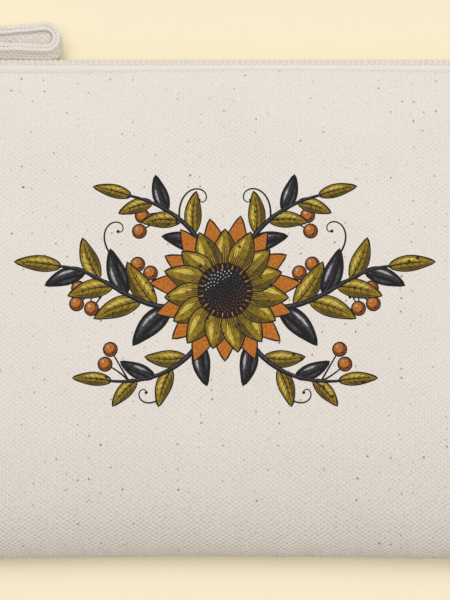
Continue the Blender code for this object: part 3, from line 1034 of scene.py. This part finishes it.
def tape_line(x, rise):
    """The tape's section: its free edge, its bend, and its sewn part behind the canvas fold."""
    side = rise_share(HALF_WIDTH - abs(x), SIDE_BAND)
    fold = MOUTH_HALF * side
    bend = min(TAPE_BEND, fold - 0.0009)
    edge = min(TAPE_EDGE, bend - 0.0011)
    fold_y = FOLD_Y - mouth_drop(x)
    line = [
        (TAPE_Y, edge), (TAPE_Y, (edge + bend) / 2), (TAPE_Y - 0.0001, bend),
        (fold_y - TAPE_TUCK + 0.0016, fold - 0.00105), (fold_y - TAPE_TUCK, fold - 0.0006),
    ]
    for inset in (0.0035, 0.0060, 0.0090):
        swell = rise_share(inset, MOUTH_BAND)
        height = ROLL + side * (MOUTH_HALF + (rise - ROLL - MOUTH_HALF) * swell)
        line.append((fold_y - inset, height - TAPE_TUCK - 0.0001))
    closing = ease_between(abs(x), TAPE_CLOSING, TAPE_END)
    closed = []
    for k, (y, z) in enumerate(line):
        level = 0.0003 + 0.00008 * k
        closed.append((y - 0.0034 * closing * (1 - k / len(line)), z + (min(level, z) - z) * closing ** 0.7))
    return closed


def make_tape(name, rise, facing):
    """Woven tape, from the coil to behind the canvas fold, with its ends under the side seams."""
    ends = np.linspace(TAPE_CLOSING, TAPE_END, 18)
    places = np.concatenate([-ends[::-1], np.linspace(-TAPE_CLOSING, TAPE_CLOSING, 115)[1:-1], ends])
    points = []
    uvs = []
    for x in places:
        line = tape_line(x, rise)
        ripple = 0.00006 * math.sin(x * 900) * math.sin(x * 130)
        points += [(x, y + ripple, SEAM_Z + facing * z) for y, z in line]
        uvs += [(x, run) for run in lengths_along(line)]
    piece = build(name, points, grid_faces(len(places), len(line), -facing), [STUFF["tape"]], uvs)
    return thicken(piece, TAPE, 0.0)


def tube(route, radius, sides, closed=False):
    """Points and faces of a round tube along a route."""
    route = [Vector(p) for p in route]
    count = len(route)
    points = []
    up = Vector((0.0, 0.0, 1.0))
    if abs((route[1] - route[0]).normalized().dot(up)) > 0.9:
        up = Vector((1.0, 0.0, 0.0))
    for i, here in enumerate(route):
        if closed:
            ahead = (route[(i + 1) % count] - route[i - 1]).normalized()
        else:
            ahead = (route[min(i + 1, count - 1)] - route[max(i - 1, 0)]).normalized()
        side = ahead.cross(up).normalized()
        up = side.cross(ahead).normalized()
        points += [here + radius * (x * side + y * up) for x, y in circle(sides)]
    return points, tube_faces(count, sides, closed)


def repeat(name, piece, stuff, tree, places):
    """Copies of a piece at the places that a tree of Geometry Nodes gives, kept as a plain mesh."""
    tree.interface.new_socket("Geometry", in_out="OUTPUT", socket_type="NodeSocketGeometry")
    info = node(tree, "GeometryNodeObjectInfo", {"Object": piece})
    copies = node(tree, "GeometryNodeInstanceOnPoints", {"Instance": info.outputs["Geometry"], **places})
    real = node(tree, "GeometryNodeRealizeInstances", {"Geometry": copies.outputs["Instances"]})
    worn = node(tree, "GeometryNodeSetMaterial", {"Geometry": real.outputs["Geometry"], "Material": stuff})
    node(tree, "NodeGroupOutput", {"Geometry": worn.outputs["Geometry"]})
    host = add_object(name, bpy.data.meshes.new(name))
    host.modifiers.new("repeat", "NODES").node_group = tree
    fix_shape(host)
    bpy.data.objects.remove(piece, do_unlink=True)
    return host


def sew(name, route, spacing, size, closed=False):
    """A row of stitches along a route, each turned along it."""
    curve = bpy.data.curves.new(name + "_route", "CURVE")
    curve.dimensions = "3D"
    spline = curve.splines.new("POLY")
    spline.points.add(len(route) - 1)
    for point, place in zip(spline.points, route):
        point.co = (*place, 1.0)
    spline.use_cyclic_u = closed
    guide = add_object(name + "_route", curve)
    tree = bpy.data.node_groups.new(name + "_tree", "GeometryNodeTree")
    path = node(tree, "GeometryNodeObjectInfo", {"Object": guide})
    spots = node(tree, "GeometryNodeCurveToPoints", {
        "Curve": path.outputs["Geometry"], "Length": spacing,
    }, mode="LENGTH").outputs
    turned = node(tree, "FunctionNodeAlignEulerToVector", {"Vector": spots["Tangent"]}, axis="X")
    places = {"Points": spots["Points"], "Rotation": turned.outputs[0]}
    piece = repeat(name, make_stitch(*size), STUFF["thread"], tree, places)
    bpy.data.objects.remove(guide, do_unlink=True)
    return piece


def make_stitch(length, thickness):
    """A stitch lying along X: a short round bead, thickest in its middle."""
    rings = ((-0.5, 0.25), (-0.36, 0.8), (0.0, 1.0), (0.36, 0.8), (0.5, 0.25))
    points = []
    for along, share in rings:
        radius = thickness / 2 * share
        points += [(along * length, radius * y, radius * z) for y, z in circle(6)]
    return build_closed("stitch", points, tube_faces(len(rings), 6), STUFF["thread"])


def make_turn(facing):
    """One turn of the nylon coil: slantwise across the middle, up, and straight back over the tape."""
    outer = CHAIN_HIGH[1] - COIL_DROP - COIL_WIRE
    inner = CHAIN_LOW[1] + COIL_WIRE
    root = 0.0019
    head = -0.0004
    route = [(0.0, inner, root), (0.04, inner, 0.6 * root), (0.10, inner, head)]
    bend = [(0.84, outer, head), (0.90, outer, 0.6 * root), (0.94, outer, root)]
    for level, dip, angles, start, step in (
        (head, -0.00035, (-50, 0, 50), 0.25, 0.25),
        (root, 0.0003, (50, 0, -50), 0.96, 0.02),
    ):
        for k, angle in enumerate(angles):
            turned = math.radians(angle)
            y = (outer + inner) / 2 + (outer - inner) / 2 * math.sin(turned)
            route.append((start + step * k, y, level + dip * math.cos(turned)))
        route += bend
        bend = [(1.0, inner, root)]
    placed = [(x * PITCH, y, SEAM_Z + facing * z) for x, y, z in route]
    return build_closed("coil_turn", *tube(placed, COIL_WIRE, 6), STUFF["coil"])


def make_coil(name, facing, start):
    tree = bpy.data.node_groups.new(name + "_tree", "GeometryNodeTree")
    line = node(tree, "GeometryNodeMeshLine", {
        "Count": TEETH, "Start Location": (start, 0.0, 0.0), "Offset": (PITCH, 0.0, 0.0),
    })
    return repeat(name, make_turn(facing), STUFF["coil"], tree, {"Points": line.outputs["Mesh"]})


def zip_line(start, end, y, level):
    return [(x, y, SEAM_Z + level) for x in np.linspace(start, end, 40)]


def make_zip():
    core_y = (CHAIN_LOW[1] + CHAIN_HIGH[1] - COIL_DROP) / 2
    seam_y = CHAIN_HIGH[1] - COIL_DROP + 0.00004
    for name, rise, facing, shift in (
        ("front", FRONT_RISE, 1, 0.0),
        ("back", BACK_RISE, -1, PITCH / 2),
    ):
        strip = make_tape(f"{name}_tape", rise, facing)
        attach(strip, "pouch")
        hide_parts(f"zip_tape_{name}")
        start = CHAIN_LOW[0] + shift + COIL_WIRE
        coil = make_coil(f"{name}_coil", facing, start)
        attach(coil, "pouch")
        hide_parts(f"zip_teeth_{name}")
        core = zip_line(CHAIN_LOW[0], CHAIN_HIGH[0], core_y, facing * CORE_LEVEL)
        cord = build_closed(f"{name}_coil_core", *tube(core, CORE, 8), STUFF["cord"])
        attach(cord, "pouch")
        edge = zip_line(-0.094, 0.096, TAPE_Y - 0.00022, facing * (TAPE_BEND + 0.00028))
        first_turn = start + 0.96 * PITCH
        last_turn = first_turn + (TEETH - 2) * PITCH + 1e-6
        back = zip_line(first_turn, last_turn, seam_y, facing * COIL_SEAM_LEVEL)
        for part, line, size in (("tape", edge, TAPE_STITCH), ("coil", back, COIL_STITCH)):
            sewing = sew(f"{name}_{part}_stitches", line, PITCH, size)
            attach(sewing, "pouch")


# Slider, ring and strap

def soften(node_name, width, stuff, body):
    """A rounded copy of a metal node, which it replaces."""
    piece = add_object(f"{node_name}_finished", bpy.data.objects[node_name].data.copy())
    shape = bmesh.new()
    shape.from_mesh(piece.data)
    bmesh.ops.remove_doubles(shape, verts=shape.verts, dist=1e-6)
    bmesh.ops.dissolve_limit(shape, angle_limit=0.02, verts=shape.verts, edges=shape.edges)
    bmesh.ops.recalc_face_normals(shape, faces=shape.faces)
    shape.to_mesh(piece.data)
    shape.free()
    piece.data.materials.clear()
    piece.data.materials.append(stuff)
    rounding = piece.modifiers.new("rounding", "BEVEL")
    rounding.width = width
    rounding.segments = 3
    rounding.limit_method = "ANGLE"
    rounding.angle_limit = math.radians(30)
    fix_shape(piece)
    piece.data.shade_smooth()
    piece.data.set_sharp_from_angle(angle=math.radians(50))
    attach(piece, body)
    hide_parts(node_name)


def ring_direction():
    return Vector((math.cos(RING_ANGLE), math.sin(RING_ANGLE), 0.0))


def make_ring():
    """Polished wire ring, narrow in the slider's bail and wide in the strap."""
    half = [(0.0, RING_NARROW), (RING_SHOULDER, RING_WIDE), (RING_LENGTH, RING_WIDE)]
    corners = [Vector(p) for p in half + [(along, -across) for along, across in reversed(half)]]
    turn = 0.0010
    route = []
    for i, here in enumerate(corners):
        first = here + (corners[i - 1] - here).normalized() * turn
        last = here + (corners[(i + 1) % len(corners)] - here).normalized() * turn
        for t in np.linspace(0, 1, 9):
            flat = first * (1 - t) ** 2 + here * 2 * t * (1 - t) + last * t**2
            route.append(HINGE + ring_direction() * flat.x + Vector((0.0, 0.0, flat.y)))
    piece = build_closed("wire_ring", *tube(route, WIRE, 14, closed=True), STUFF["nickel"])
    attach(piece, "puller")
    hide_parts("pull_ring")


def lean(x):
    return STRAP_LEAN * ease_between(x, LEAN_START, LEAN_FULL)


def leaned(x, y, level):
    """A place on the strap, at a level from the middle plane, moved over by the strap's lean."""
    return x, y + level * lean(x), SEAM_Z + level


def strap_axes():
    """The ring's bar, the strap's direction, the direction across it and the distance to its far bend."""
    eye = (HINGE + ring_direction() * RING_LENGTH).xy
    far = Vector((LOOP_END - LOOP_RADIUS - STRAP / 2, LOOP_Y))
    axis = (far - eye).normalized()
    return eye, axis, Vector((-axis.y, axis.x)), (far - eye).length


def half_spread(share):
    """Half the distance between the strap's arms, from its neck to its far bend."""
    return NECK_HALF + (LOOP_RADIUS - NECK_HALF) * share ** 0.8


def strap_route():
    """Middle line of the strap: round the ring's bar, together at the neck and round the far bend."""
    eye, axis, side, length = strap_axes()
    half = [(-x, y) for x, y in arc(EYE_RADIUS, 0, 25, 50, 75, 100)]
    half += [(0.0021, 0.00165), (0.0032, 0.00138), (0.0048, 0.00134), (NECK_END, NECK_HALF)]
    half += [(NECK_END + (length - NECK_END) * k / 8, half_spread(k / 8)) for k in range(1, 8)]
    half += [(length + y, x) for x, y in arc(LOOP_RADIUS, 0, 30, 60, 90)]
    lower = [(s, -r) for s, r in reversed(half[1:-1])]
    return [eye + axis * s + side * r for s, r in half + lower]


def smooth_loop(points, spacing):
    """A closed Catmull-Rom curve through the points, evenly spaced."""
    fine = []
    count = len(points)
    for i in range(count):
        p0, p1, p2, p3 = (points[(i + k - 1) % count] for k in range(4))
        for t in np.linspace(0, 1, 12, endpoint=False):
            fine.append(0.5 * (2 * p1 + (p2 - p0) * t + (2 * p0 - 5 * p1 + 4 * p2 - p3) * t * t
                               + (3 * p1 - p0 - 3 * p2 + p3) * t**3))
    fine.append(fine[0])
    runs = lengths_along(fine)
    even = np.linspace(0, runs[-1], round(runs[-1] / spacing), endpoint=False)
    xs, ys = (np.interp(even, runs, [p[k] for p in fine]) for k in (0, 1))
    return [Vector(p) for p in zip(xs, ys)]


def strap_profile(offset):
    """Outline of one strap layer across its width: flat faces and soft folded edges."""
    half = LAYER / 2
    rim = STRAP_HALF - half
    outline = [(offset + half, z) for z in np.linspace(-rim, rim, 15)]
    outline += [(offset + x, rim + z) for x, z in arc(half, 25, 60, 90, 120, 155)]
    outline += [(offset - half, z) for z in np.linspace(rim, -rim, 9)]
    outline += [(offset + x, z - rim) for x, z in arc(half, 205, 240, 270, 300, 335)]
    return outline


def belly(z):
    """How far the outer layer puffs out at a height, from 0 at its rim to 1 and back."""
    depth = STRAP_HALF - z
    if depth < BELLY_DEPTH:
        return (depth / BELLY_DEPTH) ** 1.5
    rest = 2 * STRAP_HALF - BELLY_DEPTH
    return max(0.5 + 0.5 * math.cos(math.pi * (depth - BELLY_DEPTH) / rest), 0.0)


def puff(x, across):
    """The most that the outer layer puffs out at a place: least on the arm that lies away from the zip."""
    return (BELLY_LEAST + (BELLY - BELLY_LEAST) * max(-across.y, 0.0)) * lean(x) / STRAP_LEAN


def strap_layer(name, loop, offset):
    profile = strap_profile(offset)
    girths = lengths_along(profile)
    count = len(loop)
    points = []
    uvs = []
    for i, run in enumerate(lengths_along(loop + loop[:1])):
        here = loop[i % count]
        ahead = (loop[(i + 1) % count] - loop[(i - 1) % count]).normalized()
        across = Vector((-ahead.y, ahead.x))
        wave = 0.00007 * math.sin(run * 640 + 2 * math.sin(run * 211) + offset * 4000)
        ripple = 0.00012 * math.sin(run * 410 + offset * 9000)
        for out, z in profile:
            puffed = 0.0
            if out > offset and offset > 0:
                puffed = puff(here.x, across) * belly(z) * (out - offset) / (LAYER / 2)
            x, y = here + across * (out + wave + puffed)
            points.append(leaned(x, y, z + ripple * (1 if z > 0 else -1)))
        uvs += [(girth, run) for girth in girths]
    faces = tube_faces(count + 1, len(profile), capped=False)
    return build_closed(name, points, faces, STUFF["canvas"], uvs)


def strap_lining():
    """The slack of the inner layer, which buckles into the strap's hollow a little below its rim."""
    eye, axis, side, length = strap_axes()
    inner = LOOP_RADIUS - STRAP / 2 + LINING_SUNK
    stations = np.linspace(0.0074, length + inner - 0.0001, 60)
    shares = [k / 10 for k in range(11)]
    points = []
    uvs = []
    for s in stations:
        if s < length:
            reach = half_spread((s - NECK_END) / (length - NECK_END)) - STRAP / 2 + LINING_SUNK
        else:
            reach = math.sqrt(inner**2 - (s - length) ** 2)
        for share in shares:
            swell = (0.00035 + 0.00012 * math.sin(s * 900 + share * 5)) * math.sin(math.pi * share)
            x, y = eye + axis * s + side * reach * (1 - 2 * share)
            points.append(leaned(x, y, STRAP_HALF - LINING_TOP - LINING_FALL * share + swell))
            uvs.append((s, 2 * reach * share))
    faces = grid_faces(len(stations), len(shares))
    return thicken(build("strap_lining", points, faces, [STUFF["canvas"]], uvs), CLOTH, -1.0)


def make_strap():
    loop = smooth_loop(strap_route(), 0.0005)
    lining = strap_lining()
    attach(lining, "puller")
    for name, offset in (("strap_outer_layer", STRAP / 4), ("strap_inner_layer", -STRAP / 4)):
        piece = strap_layer(name, loop, offset)
        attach(piece, "puller")
        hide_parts("pull_loop")
    rows = []
    rim = STRAP_HALF - 0.0003
    for label, level in (("top", rim), ("bottom", -rim)):
        groove = [leaned(p.x, p.y, level) for p in loop]
        rows.append((f"strap_{label}_edge_stitches", groove, 0.00112, EDGE_STITCH, True))
    eye, axis, side, _ = strap_axes()
    tacked = STRAP_HALF - 0.0010
    for label, reach in (("near", 0.0040), ("far", 0.0052)):
        for face, word in ((-1, "lower"), (1, "upper")):
            x, y = eye + axis * reach + side * face * (TACK_HALF + STRAP / 2)
            route = [leaned(x, y, level) for level in np.linspace(-tacked, tacked, 9)]
            rows.append((f"strap_{label}_tack_{word}", route, 0.0018, TACK_STITCH, False))
    for row in rows:
        sewing = sew(*row)
        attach(sewing, "puller")


# Floor, light and camera

def make_stage():
    made, _, shader = new_material("pale cream paper", 0.95)
    shader.inputs["Base Color"].default_value = srgb(246, 235, 205)
    shader.inputs["Specular IOR Level"].default_value = 0.0
    corners = [(x, y, FLOOR_LEVEL) for x, y in ((-4, -4), (4, -4), (4, 4), (-4, 4))]
    floor = build("floor", corners, [(0, 1, 2, 3)], [made], smooth=False)

    bpy.context.scene.view_settings.view_transform = "Standard"
    world = bpy.data.worlds.new("studio")
    bpy.context.scene.world = world
    world.use_nodes = True
    background = world.node_tree.nodes["Background"]
    background.inputs["Color"].default_value = (1.0, 1.0, 1.0, 1.0)
    background.inputs["Strength"].default_value = SKY
    key = bpy.data.lights.new("window", "SUN")
    key.energy = SUN
    key.angle = math.radians(SUN_SPREAD)
    lamp = add_object("window", key)
    lamp.rotation_euler = Vector(SUN_FROM).to_track_quat("Z", "Y").to_euler()

    camera = bpy.data.cameras.new("camera")
    camera.sensor_fit = "VERTICAL"
    camera.sensor_height = SENSOR
    camera.lens = SENSOR * CAMERA_DISTANCE / (FRAME_PIXELS[1] * METRES_PER_PIXEL)
    camera.clip_end = 20.0
    eye = add_object("camera", camera)
    eye.location = (0.0, CAMERA_Y, SEAM_Z + CAMERA_DISTANCE)
    bpy.context.scene.camera = eye


STUFF = make_materials()


def make_pouch():
    inks = ["canvas", "black", "slate", "silver", "mustard", "olive", "gold", "orange", "rust"]
    front = make_panel("front_cloth", Panel(FRONT_RISE, 1), draw_print(), inks)
    back = make_panel("back_cloth", Panel(BACK_RISE, -1), [], ["canvas"])
    for piece, solid in ((front, "front_panel"), (back, "back_panel")):
        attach(piece, "pouch")
        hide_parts(solid)
    make_seam()


def make_metal():
    soften("slider_body", 0.00022, STUFF["nickel"], "slider")
    for name in ("top_stop_front", "top_stop_back", "bottom_stop"):
        soften(name, 0.00030, STUFF["nickel"], "pouch")
    make_ring()


make_pouch()
make_zip()
make_metal()
make_strap()
make_stage()
